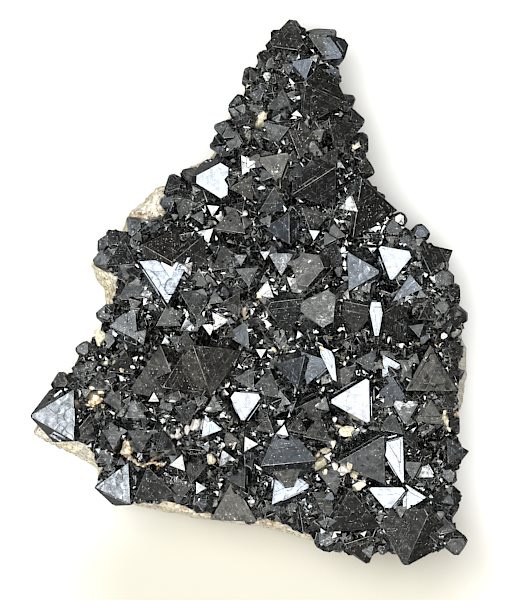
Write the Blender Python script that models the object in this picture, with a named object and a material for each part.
"""Magnetite specimen: a plate of pale host rock that carries a crust of black octahedral crystals.

The plate lies on its broken back with the crystals up. The origin is in the middle of that flat back, +Z up,
and +Y runs to the narrow end. Everything is in metres.

The plan is laid out on a grid of columns and rows, rows counted downwards, as in the reference view of 524 x 600.
"""

import math
import random

import bmesh
import bpy
from mathutils import Matrix, Vector, noise
from mathutils.bvhtree import BVHTree

MM = 0.001

# Driving dimensions
GRID = 0.16 * MM            # real size of one step of the plan grid
MIDDLE = (250, 300)         # column and row of the origin
GAP = 0.3 * MM              # clearance between pieces that touch
ROCK_TOP = 9.5 * MM         # top of the host rock, under the crust
WAIST = 3.6 * MM            # height at which the rock is widest
SHOULDER = 7.4 * MM         # height at which the rock starts to round over
ROCK_STEP = 4.6 * MM        # spacing of the points round the rock
ROUGHNESS = 0.7 * MM        # how far the broken sides wander
CRUST_EDGE = 11.5 * MM      # level of the crystal layer at its border
CRUST_RISE = 6.0 * MM       # how much higher the layer is in the middle
CRUST_REACH = 11.0 * MM     # distance over which it rises
MASS_BASE = 8.0 * MM        # underside of the solid mass, before the rock is cut out of it
MASS_DEPTH = 3.6 * MM       # its top stays this far under the crystal level
MASS_FLOOR = 11.0 * MM      # but no lower than this
MASS_STEP = 7.0 * MM        # spacing of the points on top of the mass
FILLER_STEP = 4.9 * MM      # spacing of the small crystals
FILLER_EDGES = (2.6 * MM, 4.8 * MM)
FILLER_CLEAR = 0.42          # share of a crystal's edge round its middle where no small one is added
BLUNT = 0.16                # how much of an edge a blunted corner takes
WORN = 0.16                 # how much of a grain's block its worn edges take
GRAIN_TILT = math.radians(12)
HALF_PLAN = 48 * MM         # the whole plan lies this close to the origin
ABOVE = 60 * MM             # clear of the highest crystal
SEED = 11

# Host rock, clockwise from the narrow end: (column, row)
ROCK_OUTLINE = [
    (296, 40), (326, 50), (333, 90), (351, 130), (360, 160), (366, 190), (388, 215), (412, 237), (434, 262),
    (446, 290), (456, 322), (471, 350), (471, 376), (466, 402), (457, 422), (455, 448), (458, 472), (451, 500),
    (452, 528), (430, 545), (400, 555), (374, 559), (352, 556), (320, 548), (300, 541), (280, 537), (259, 531),
    (230, 527), (200, 522), (165, 516), (134, 510), (110, 498), (98, 486), (92, 470), (62, 453), (31, 434),
    (40, 412), (58, 392), (74, 370), (86, 350), (96, 330), (104, 306), (98, 292), (90, 279), (90, 264),
    (104, 246), (117, 230), (127, 210), (140, 199), (153, 184), (170, 179), (190, 166), (207, 157), (213, 140),
    (224, 120), (238, 98), (247, 78), (262, 60), (276, 48),
]

# Border of the solid mass under the crystals
CRUST_OUTLINE = [
    (290, 30), (318, 40), (332, 62), (335, 85), (344, 112), (354, 137), (360, 160), (366, 187), (384, 207),
    (405, 226), (423, 240), (439, 256), (447, 285), (457, 312), (460, 345), (456, 380), (457, 410), (451, 430),
    (456, 452), (454, 480), (452, 510), (455, 535), (445, 545), (425, 548), (400, 555), (375, 551), (350, 546),
    (325, 538), (303, 527), (280, 521), (255, 518), (225, 513), (195, 508), (165, 502), (140, 500), (118, 494),
    (104, 484), (102, 466), (84, 440), (52, 424), (46, 410), (61, 392), (73, 369), (85, 351), (99, 335),
    (109, 312), (117, 296), (118, 278), (110, 262), (108, 249), (121, 237), (141, 228), (160, 222), (171, 201),
    (185, 185), (206, 171), (218, 150), (225, 128), (237, 108), (247, 88), (254, 71), (270, 53), (279, 37),
]

# Crystals, one line each, by the face that looks up: column and row of the middle of that face, edge in mm, the
# direction that one of its corners points, how far the face leans, the direction it leans to (degrees, 0 to the
# right, 90 up the plan) and how far it stands over the level of the crust in mm.
CRYSTALS = [
    # narrow end
    (289, 35, 5.4, 80, 24, 100, 1.0),
    (322, 36, 4.4, 272, 42, 95, 1.6),
    (303, 69, 3.9, 280, 11, 190, 1.8),
    (332, 75, 4.4, 180, 16, 20, 1.2),
    (318, 103, 7.6, 0, 26, 285, 2.2),
    (344, 133, 5.6, 258, 26, 330, 1.4),
    (267, 76, 2.2, 270, 3, 90, 1.8),
    (279, 62, 4.6, 150, 30, 130, 0.8),
    (257, 92, 4.4, 40, 24, 160, 0.8),
    (281, 103, 4.8, 200, 22, 250, 1.0),
    (241, 117, 4.6, 100, 28, 150, 0.6),
    (275, 132, 5.4, 20, 24, 200, 1.2),
    (304, 141, 6.2, 260, 22, 30, 1.6),
    (233, 141, 4.4, 330, 22, 190, 0.8),
    (222, 127, 3.8, 165, 26, 160, 0.6),
    (217, 146, 3.6, 60, 26, 190, 0.6),
    (236, 103, 3.6, 200, 24, 150, 0.6),
    (248, 76, 3.6, 110, 26, 160, 0.6),
    (265, 56, 3.8, 150, 30, 120, 0.6),
    (312, 62, 3.6, 20, 24, 60, 0.8),
    (348, 100, 3.8, 30, 26, 30, 0.6),
    (357, 118, 3.8, 350, 26, 20, 0.6),
    (364, 142, 3.8, 60, 28, 10, 0.4),
    (366, 166, 4.2, 330, 26, 30, 0.8),
    (330, 158, 4.4, 180, 24, 70, 0.8),
    # shoulder
    (216, 180, 7.0, 178, 2, 120, 3.0, True),
    (248, 165, 3.6, 4, 2, 60, 2.6),
    (274, 166, 6.1, 40, 13, 130, 2.2, True),
    (322, 190, 8.8, 305, 38, 302, 2.0),
    (371, 207, 10.4, 355, 38, 355, 2.2),
    (349, 205, 3.6, 200, 9, 210, 3.6),
    (213, 209, 2.4, 265, 5, 100, 2.4),
    (198, 190, 3.0, 250, 12, 200, 1.6),
    (199, 217, 2.6, 60, 13, 80, 1.8),
    (245, 188, 5.2, 60, 24, 250, 1.6),
    (184, 206, 4.8, 130, 26, 200, 0.8),
    (172, 184, 4.4, 105, 26, 130, 0.8),
    (167, 203, 4.0, 160, 24, 170, 0.6),
    (190, 173, 3.4, 40, 22, 120, 0.8),
    (300, 170, 5.0, 90, 20, 60, 1.0),
    (273, 204, 5.6, 330, 24, 280, 1.2),
    (231, 223, 5.4, 200, 20, 100, 1.0),
    (314, 219, 5.6, 140, 23, 40, 0.8),
    # left ledge
    (169, 244, 6.9, 272, 22, 200, 1.8),
    (121, 256, 6.6, 90, 30, 140, 1.0),
    (133, 226, 3.8, 130, 24, 150, 0.8),
    (152, 226, 3.6, 10, 26, 170, 0.6),
    (166, 274, 7.2, 274, 4, 100, 2.8),
    (195, 256, 7.4, 187, 28, 350, 2.0),
    (226, 260, 5.6, 100, 22, 60, 1.6),
    (137, 288, 6.6, 95, 18, 110, 1.2),
    (126, 324, 5.8, 185, 13, 170, 2.0),
    (169, 318, 5.0, 330, 14, 10, 1.6),
    (196, 300, 7.0, 270, 22, 80, 1.2),
    (104, 313, 3.4, 190, 20, 150, 0.8),
    (107, 340, 4.0, 20, 15, 170, 1.2),
    (83, 349, 3.0, 180, 12, 150, 1.2),
    (60, 381, 3.8, 90, 20, 120, 1.2),
    (62, 416, 8.6, 181, 4, 290, 2.6, True),
    (88, 430, 5.6, 200, 24, 330, 1.0),
    (80, 372, 4.2, 40, 26, 160, 0.8),
    # middle
    (241, 259, 2.3, 30, 6, 90, 3.0),
    (265, 254, 1.8, 270, 3, 90, 2.4),
    (281, 229, 5.6, 180, 26, 188, 2.4),
    (281, 261, 4.3, 270, 10, 200, 2.0),
    (247, 274, 4.2, 277, 12, 90, 2.0),
    (266, 291, 3.4, 200, 3, 60, 2.8),
    (304, 271, 6.8, 150, 24, 130, 1.8),
    (314, 234, 2.0, 265, 3, 90, 2.6),
    (335, 233, 3.5, 103, 11, 100, 2.2),
    (359, 272, 6.7, 0, 10, 170, 2.6),
    (322, 309, 7.5, 175, 9, 100, 3.0, True),
    (286, 313, 7.0, 275, 21, 290, 1.2),
    (394, 260, 6.6, 260, 2, 80, 2.8, True),
    (408, 288, 5.2, 220, 12, 200, 2.0),
    (430, 252, 5.6, 0, 34, 60, 1.6),
    (444, 279, 4.6, 0, 14, 10, 1.6),
    (443, 307, 3.2, 270, 12, 60, 2.0),
    (376, 316, 6.4, 90, 2, 90, 2.4),
    (353, 318, 7.4, 20, 22, 250, 1.4),
    (395, 322, 7.4, 180, 24, 340, 1.6),
    (417, 329, 2.9, 280, 12, 90, 2.4),
    (444, 336, 1.8, 0, 3, 90, 2.4),
    (430, 313, 4.6, 330, 24, 30, 1.0),
    (457, 318, 4.4, 0, 26, 350, 0.8),
    (456, 292, 3.6, 60, 26, 20, 0.6),
    (394, 228, 4.0, 90, 14, 90, 1.6),
    (407, 240, 3.2, 60, 16, 30, 1.8),
    (421, 232, 3.2, 100, 11, 60, 1.6),
    (400, 219, 2.6, 180, 3, 90, 2.0),
    (219, 321, 3.3, 124, 3, 100, 2.6),
    (209, 328, 2.6, 276, 3, 60, 2.6),
    (216, 299, 2.8, 340, 10, 80, 2.2),
    (232, 305, 5.4, 60, 24, 300, 0.8),
    (240, 335, 5.2, 300, 22, 180, 0.8),
    (332, 258, 5.2, 200, 24, 320, 0.8),
    (420, 300, 5.2, 100, 26, 300, 0.6),
    # belt of the large crystals
    (154, 378, 8.8, 205, 19, 205, 2.4),
    (216, 364, 9.2, 263, 25, 352, 2.8),
    (186, 345, 5.2, 90, 22, 60, 0.8),
    (261, 352, 2.1, 270, 2, 90, 2.2),
    (296, 367, 6.9, 165, 32, 192, 2.4),
    (329, 361, 5.0, 275, 2, 120, 2.0),
    (354, 401, 7.6, 181, 1, 90, 3.4),
    (343, 378, 5.8, 180, 18, 110, 1.2),
    (368, 361, 4.4, 60, 17, 60, 1.4),
    (388, 366, 4.3, 0, 5, 100, 2.4, True),
    (402, 368, 4.6, 270, 11, 20, 2.0),
    (431, 375, 9.0, 90, 17, 20, 2.2),
    (391, 392, 5.8, 330, 20, 250, 1.8),
    (405, 413, 4.7, 270, 4, 90, 1.6),
    (245, 403, 6.0, 265, 2, 110, 3.0, True),
    (214, 405, 3.4, 90, 9, 100, 2.2),
    (209, 427, 3.9, 350, 4, 110, 2.2),
    (154, 398, 2.1, 330, 3, 90, 2.4),
    (135, 411, 3.9, 90, 10, 60, 2.0),
    (113, 436, 4.4, 270, 11, 45, 2.2),
    (141, 437, 4.6, 270, 20, 80, 1.8),
    (282, 400, 3.3, 100, 10, 200, 2.2),
    (267, 386, 5.6, 320, 20, 120, 1.2),
    (247, 379, 3.8, 300, 15, 80, 1.4),
    (312, 410, 5.6, 60, 26, 250, 0.8),
    (276, 425, 3.2, 30, 10, 200, 1.4),
    (318, 432, 5.2, 200, 22, 40, 0.8),
    (98, 383, 4.8, 330, 24, 140, 0.8),
    (115, 400, 4.6, 60, 24, 200, 0.8),
    (123, 365, 5.0, 200, 26, 120, 0.8),
    (188, 411, 4.6, 40, 24, 320, 0.8),
    (372, 432, 4.4, 200, 22, 160, 1.2),
    (392, 425, 5.0, 200, 20, 60, 1.6),
    (410, 438, 4.6, 180, 26, 20, 1.4),
    (428, 414, 5.6, 90, 16, 60, 1.6),
    (449, 402, 4.6, 330, 24, 20, 0.8),
    (453, 376, 4.4, 20, 26, 0, 0.6),
    (455, 350, 4.4, 340, 26, 10, 0.6),
    (455, 425, 3.6, 60, 26, 10, 0.4),
    (454, 500, 4.2, 10, 28, 0, 0.6),
    # foot
    (118, 485, 7.0, 186, 8, 250, 2.2),
    (152, 491, 7.2, 100, 18, 265, 2.0),
    (179, 463, 3.0, 190, 3, 60, 2.6),
    (200, 488, 2.2, 0, 3, 90, 2.4),
    (203, 507, 4.0, 330, 46, 245, 1.0),
    (178, 488, 5.4, 140, 22, 230, 1.2),
    (233, 509, 8.2, 329, 48, 240, 1.2),
    (226, 458, 3.2, 110, 9, 180, 1.8),
    (238, 476, 5.0, 60, 22, 120, 1.0),
    (249, 444, 2.8, 240, 3, 60, 1.8),
    (286, 445, 8.6, 98, 16, 98, 2.8),
    (268, 428, 3.6, 200, 24, 220, 2.4),
    (298, 426, 4.0, 80, 22, 30, 2.2),
    (287, 484, 7.4, 354, 5, 130, 1.8),
    (283, 431, 2.2, 80, 3, 90, 3.8),
    (295, 521, 5.0, 190, 46, 190, 1.0),
    (273, 512, 4.6, 60, 24, 260, 1.0),
    (328, 500, 6.2, 30, 20, 100, 1.2),
    (326, 539, 4.0, 120, 9, 100, 1.4),
    (352, 517, 9.6, 95, 34, 275, 2.4),
    (369, 547, 5.0, 288, 40, 290, 1.0),
    (399, 530, 9.8, 272, 34, 188, 2.0),
    (370, 461, 9.2, 300, 18, 300, 2.6),
    (401, 458, 8.2, 23, 2, 90, 1.6),
    (390, 497, 6.4, 150, 2, 100, 2.4, True),
    (412, 496, 5.2, 0, 2, 60, 2.4, True),
    (422, 475, 4.8, 90, 3, 90, 2.4),
    (412, 467, 4.0, 270, 8, 60, 2.8),
    (432, 480, 3.6, 150, 14, 20, 1.8),
    (449, 475, 3.1, 47, 11, 60, 1.8),
    (455, 451, 4.7, 0, 20, 40, 1.8),
    (457, 545, 4.2, 270, 16, 300, 1.6),
    (441, 535, 2.0, 270, 5, 90, 2.0),
    (440, 515, 2.2, 30, 10, 90, 2.0),
    (431, 522, 7.0, 45, 24, 40, 1.2),
    (424, 546, 4.6, 40, 26, 330, 0.8),
    (440, 497, 5.0, 70, 28, 350, 0.8),
    (165, 443, 4.4, 100, 24, 30, 0.8),
    (332, 478, 5.6, 280, 22, 200, 0.8),
    (104, 458, 4.4, 340, 16, 210, 1.2),
    (193, 470, 4.6, 20, 24, 90, 0.8),
    (339, 545, 4.2, 20, 24, 260, 0.6),
]

# Pale grains: column, row, length, width and height in mm, direction of the length, and colour
CREAM = (0.79, 0.70, 0.52, 1.0)
PEARL = (0.86, 0.83, 0.77, 1.0)
RUSTY = (0.60, 0.38, 0.19, 1.0)
GRAINS = [
    (260, 121, 3.7, 1.9, 1.8, 75, CREAM),
    (356, 146, 1.8, 1.6, 1.5, 20, CREAM),
    (100, 337, 2.7, 1.6, 1.7, 100, CREAM),
    (245, 311, 2.4, 1.4, 1.4, 70, CREAM),
    (96, 400, 3.2, 2.0, 1.8, 60, RUSTY),
    (128, 449, 2.9, 2.5, 2.1, 40, RUSTY),
    (179, 434, 2.4, 2.0, 1.8, 150, PEARL),
    (197, 426, 2.6, 2.2, 1.9, 60, PEARL),
    (345, 432, 2.6, 1.8, 1.6, 170, CREAM),
    (327, 450, 2.2, 1.5, 1.5, 10, CREAM),
    (321, 464, 2.6, 1.7, 1.6, 70, CREAM),
    (343, 470, 2.4, 1.8, 1.6, 20, PEARL),
    (353, 475, 2.0, 1.5, 1.5, 120, CREAM),
    (358, 487, 2.2, 1.6, 1.5, 50, CREAM),
    (446, 421, 2.7, 1.6, 1.6, 100, CREAM),
    (211, 459, 1.8, 1.4, 1.4, 110, CREAM),
]


def spot(col, row):
    """The place on the plan, in metres, of a column and a row."""
    return Vector(((col - MIDDLE[0]) * GRID, (MIDDLE[1] - row) * GRID))


def depth_inside(place, border):
    """How far a place lies inside a closed border, negative outside it."""
    nearest = math.inf
    inside = False
    for a, b in zip(border, border[1:] + border[:1]):
        run = b - a
        along = max(0.0, min(1.0, (place - a).dot(run) / run.length_squared))
        nearest = min(nearest, (place - a - run * along).length)
        if (a.y > place.y) != (b.y > place.y) and place.x < a.x + run.x * (place.y - a.y) / run.y:
            inside = not inside
    return nearest if inside else -nearest


CRUST_BORDER = [spot(*point) for point in CRUST_OUTLINE]


def crust_level(place):
    """Height of the crystal layer: it climbs from its border to a broad, slightly uneven middle."""
    depth = max(0.0, depth_inside(place, CRUST_BORDER))
    swell = noise.noise(Vector((place.x, place.y, 0.0)) / (16 * MM)) * 1.2 * MM
    return CRUST_EDGE + (CRUST_RISE + swell) * (1 - math.exp(-depth / CRUST_REACH))


def material(name, colour, roughness, metallic):
    mat = bpy.data.materials.new(name)
    mat.use_nodes = True
    shader = mat.node_tree.nodes["Principled BSDF"]
    shader.inputs["Base Color"].default_value = colour
    shader.inputs["Roughness"].default_value = roughness
    shader.inputs["Metallic"].default_value = metallic
    return mat


def new_object(name, mesh, collection, mat=None):
    thing = bpy.data.objects.new(name, mesh)
    collection.objects.link(thing)
    if mat:
        mesh.materials.append(mat)
    return thing


def bmesh_object(name, bm, collection, mat=None):
    mesh = bpy.data.meshes.new(name)
    bm.to_mesh(mesh)
    bm.free()
    return new_object(name, mesh, collection, mat)


def cutter(name, bm, collection):
    thing = bmesh_object(name, bm, collection)
    thing.hide_render = True
    thing.display_type = "WIRE"
    return thing


def settle(thing, operation, tools):
    """Joins or cuts an object with a collection of tools, and keeps only its largest closed body."""
    step = thing.modifiers.new(operation.title(), "BOOLEAN")
    step.operation = operation
    step.solver = "MANIFOLD"  # hundreds of crystals cross each other here, and the exact solver leaves gaps
    step.operand_type = "COLLECTION"
    step.collection = tools
    bpy.context.view_layer.update()
    mesh = bpy.data.meshes.new_from_object(thing.evaluated_get(bpy.context.evaluated_depsgraph_get()))
    thing.modifiers.remove(step)
    bm = bmesh.new()
    bm.from_mesh(mesh)
    in_line = [vert for vert in bm.verts if len(vert.link_edges) == 2]
    bmesh.ops.dissolve_verts(bm, verts=in_line)
    drop_loose_bodies(bm)
    bm.to_mesh(mesh)
    bm.free()
    thing.data = mesh


def triangulate(mesh):
    bm = bmesh.new()
    bm.from_mesh(mesh)
    bmesh.ops.triangulate(bm, faces=bm.faces)
    bm.to_mesh(mesh)
    bm.free()


def drop_loose_bodies(bm):
    """Deletes every connected body but the largest: chips cut free, and the walls of closed pockets."""
    left = set(bm.faces)
    bodies = []
    while left:
        body = []
        queue = [left.pop()]
        while queue:
            face = queue.pop()
            body.append(face)
            for edge in face.edges:
                for near in edge.link_faces:
                    if near in left:
                        left.remove(near)
                        queue.append(near)
        bodies.append(body)
    bodies.sort(key=len)
    loose = [face for body in bodies[:-1] for face in body]
    bmesh.ops.delete(bm, geom=loose, context="FACES")


def even_border(outline, step):
    """Points at even steps along a closed outline, pushed about as a broken edge is."""
    corners = [spot(*point) for point in outline]
    points = []
    for a, b in zip(corners, corners[1:] + corners[:1]):
        parts = max(1, round((b - a).length / step))
        for i in range(parts):
            point = a.lerp(b, i / parts)
            near = Vector((point.x, point.y, 0.0)) / (4 * MM)
            push = Vector((noise.noise(near), noise.noise(near + Vector((9.3, 4.1, 7.7)))))
            points.append(point + push * ROUGHNESS)
    return points


def rock_shape(grow):
    """The host rock: its border is drawn up in rings, wide at the waist and rounded over to a flat top."""
    border = even_border(ROCK_OUTLINE, ROCK_STEP)
    count = len(border)
    outward = []
    for i, point in enumerate(border):
        run = border[(i + 1) % count] - border[i - 1]
        outward.append(Vector((-run.y, run.x)).normalized())
    rings = [(0.0, 1.0 * MM, 0.0), (WAIST, 0.0, 1.0), (SHOULDER, 0.9 * MM, 1.0), (ROCK_TOP, 2.6 * MM, 0.0)]
    bm = bmesh.new()
    cap = bm.faces.new([bm.verts.new((point.x, point.y, 0.0)) for point in border])
    for number, (height, inset, rough) in enumerate(rings):
        if number:
            grown = bmesh.ops.extrude_face_region(bm, geom=[cap])["geom"]
            if number > 1:
                bmesh.ops.delete(bm, geom=[cap], context="FACES_ONLY")
            cap = next(item for item in grown if isinstance(item, bmesh.types.BMFace))
        for vert, point, away in zip(cap.verts, border, outward):
            wander = noise.noise(Vector((point.x, point.y, height)) / (5 * MM)) * ROUGHNESS * rough
            plan = point + away * (grow - inset + wander)
            lift = grow * number / (len(rings) - 1) if number else -grow
            vert.co = (plan.x, plan.y, height + lift + wander * 0.6)
    bmesh.ops.triangulate(bm, faces=bm.faces)
    bmesh.ops.recalc_face_normals(bm, faces=bm.faces)
    return bm


def crust_mass(collection, mat):
    """The solid mass that the crystals grow out of: a gently domed grid, thickened and cut to its border."""
    bm = bmesh.new()
    cells = round(2 * HALF_PLAN / MASS_STEP)
    bmesh.ops.create_grid(bm, x_segments=cells, y_segments=cells, size=HALF_PLAN)
    bottom = bmesh.ops.extrude_face_region(bm, geom=bm.faces[:])["geom"]
    lower = {item for item in bottom if isinstance(item, bmesh.types.BMVert)}
    for vert in bm.verts:
        vert.co.z = MASS_BASE if vert in lower else max(MASS_FLOOR, crust_level(vert.co.xy) - MASS_DEPTH)
    bmesh.ops.dissolve_limit(bm, angle_limit=math.radians(1), verts=list(lower), edges=bm.edges)
    bmesh.ops.recalc_face_normals(bm, faces=bm.faces)
    return bmesh_object("magnetite_crust", bm, collection, mat)


def border_prism(outline):
    bm = bmesh.new()
    verts = [bm.verts.new((*spot(*point), 0.0)) for point in outline]
    face = bm.faces.new(verts)
    top = bmesh.ops.extrude_face_region(bm, geom=[face])["geom"]
    bmesh.ops.translate(bm, vec=(0, 0, ABOVE), verts=[v for v in top if isinstance(v, bmesh.types.BMVert)])
    bmesh.ops.recalc_face_normals(bm, faces=bm.faces)
    return bm


def crystal_place(col, row, edge, points, lean, heading, rise):
    """Turns and moves the unit octahedron so that one face has the given middle, corner and lean."""
    place = spot(col, row)
    lean, heading, points = (math.radians(angle) for angle in (lean, heading, points))
    normal = Vector((math.sin(lean) * math.cos(heading), math.sin(lean) * math.sin(heading), math.cos(lean)))
    corner = Vector((0, 0, 1)).rotation_difference(normal) @ Vector((math.cos(points), math.sin(points), 0))
    unit_normal = Vector((1, 1, 1)).normalized()
    unit_corner = Vector((2, -1, -1)).normalized()
    turned = Matrix((normal, corner, normal.cross(corner))).transposed()
    straight = Matrix((unit_normal, unit_corner, unit_normal.cross(unit_corner)))
    face_middle = Vector((*place, crust_level(place) + rise * MM))
    centre = face_middle - normal * edge * MM / math.sqrt(6)
    return Matrix.Translation(centre) @ (turned @ straight).to_4x4() @ Matrix.Scale(edge * MM / math.sqrt(2), 4)


def octahedron(place, blunt):
    """A crystal: eight flat faces, with its six corners cut off where it is blunt."""
    bm = bmesh.new()
    bmesh.ops.create_uvsphere(bm, u_segments=4, v_segments=2, radius=1.0)
    if blunt:
        bmesh.ops.bevel(bm, geom=bm.verts[:], offset=math.sqrt(2) * BLUNT, affect="VERTICES", segments=1,
                        profile=0.5, material=-1)
    bmesh.ops.transform(bm, matrix=place, verts=bm.verts)
    bmesh.ops.triangulate(bm, faces=bm.faces)
    bmesh.ops.recalc_face_normals(bm, faces=bm.faces)
    return bm


def filler_crystals(rng):
    """Small crystals over the whole crust, turned at random, on a shaken grid."""
    steps = int(2 * HALF_PLAN / FILLER_STEP)
    for i in range(steps):
        for j in range(steps):
            x = -HALF_PLAN + (i + rng.random()) * FILLER_STEP
            y = -HALF_PLAN + (j + rng.random()) * FILLER_STEP
            edge = rng.uniform(*FILLER_EDGES) / MM
            turn = rng.uniform(0, 360)
            lean = rng.uniform(12, 55)
            heading = rng.uniform(0, 360)
            rise = rng.uniform(-1.2, 0.4)
            place = Vector((x, y))
            covered = any((spot(*line[:2]) - place).length < FILLER_CLEAR * line[2] * MM for line in CRYSTALS)
            if depth_inside(place, CRUST_BORDER) > 0.4 * MM and not covered:
                yield (x / GRID + MIDDLE[0], MIDDLE[1] - y / GRID, edge, turn, lean, heading, rise)


def grain_block(length, width, height, turn, centre, grow, worn):
    """The block that a pale grain broke along its cleavage into, or, grown and sharp, the socket it sits in."""
    bm = bmesh.new()
    bmesh.ops.create_cube(bm, size=1.0)
    if worn:
        bmesh.ops.bevel(bm, geom=bm.edges[:], offset=WORN, affect="EDGES", segments=1, profile=0.5, material=-1)
    size = Vector((length, width, height)) * MM + Vector((grow, grow, grow)) * 2
    bmesh.ops.scale(bm, vec=size, verts=bm.verts)
    bmesh.ops.rotate(bm, matrix=Matrix.Rotation(GRAIN_TILT, 3, "X"), verts=bm.verts)
    bmesh.ops.rotate(bm, matrix=Matrix.Rotation(math.radians(turn), 3, "Z"), verts=bm.verts)
    bmesh.ops.translate(bm, vec=centre, verts=bm.verts)
    bmesh.ops.triangulate(bm, faces=bm.faces)
    return bm


def build():
    for thing in list(bpy.data.objects):
        bpy.data.objects.remove(thing)
    part = bpy.data.collections.new("magnetite_specimen")
    joined = bpy.data.collections.new("crystals_joined")
    border = bpy.data.collections.new("border")
    cut = bpy.data.collections.new("cutters")
    for collection in (part, joined, border, cut):
        bpy.context.scene.collection.children.link(collection)

    pale_rock = material("pale_rock", (0.72, 0.66, 0.52, 1.0), 0.85, 0.0)
    magnetite = material("magnetite", (0.055, 0.053, 0.052, 1.0), 0.28, 0.85)
    grain_materials = {
        CREAM: material("cream_feldspar", CREAM, 0.5, 0.0),
        PEARL: material("pearly_feldspar", PEARL, 0.4, 0.0),
        RUSTY: material("rusty_feldspar", RUSTY, 0.6, 0.0),
    }

    bmesh_object("host_rock", rock_shape(0.0), part, pale_rock)
    cutter("rock_cutter", rock_shape(GAP), cut)

    crust = crust_mass(part, magnetite)
    cutter("border_prism", border_prism(CRUST_OUTLINE), border)
    settle(crust, "INTERSECT", border)

    rng = random.Random(SEED)
    lines = CRYSTALS + list(filler_crystals(rng))
    for number, line in enumerate(lines, 1):
        blunt = len(line) > 7
        cutter(f"crystal_{number}", octahedron(crystal_place(*line[:7]), blunt), joined)
    settle(crust, "UNION", joined)

    surface = BVHTree.FromPolygons([v.co for v in crust.data.vertices], [p.vertices for p in crust.data.polygons])
    for number, (col, row, length, width, height, turn, colour) in enumerate(GRAINS, 1):
        place = spot(col, row)
        hit = surface.ray_cast(Vector((place.x, place.y, ABOVE)), Vector((0, 0, -1)))[0]
        size = (length, width, height, turn, hit)
        bmesh_object(f"feldspar_grain_{number}", grain_block(*size, 0.0, True), part, grain_materials[colour])
        cutter(f"socket_{number}", grain_block(*size, GAP, False), cut)
    settle(crust, "DIFFERENCE", cut)
    triangulate(crust.data)
    crust.data.materials.clear()
    crust.data.materials.append(magnetite)


build()
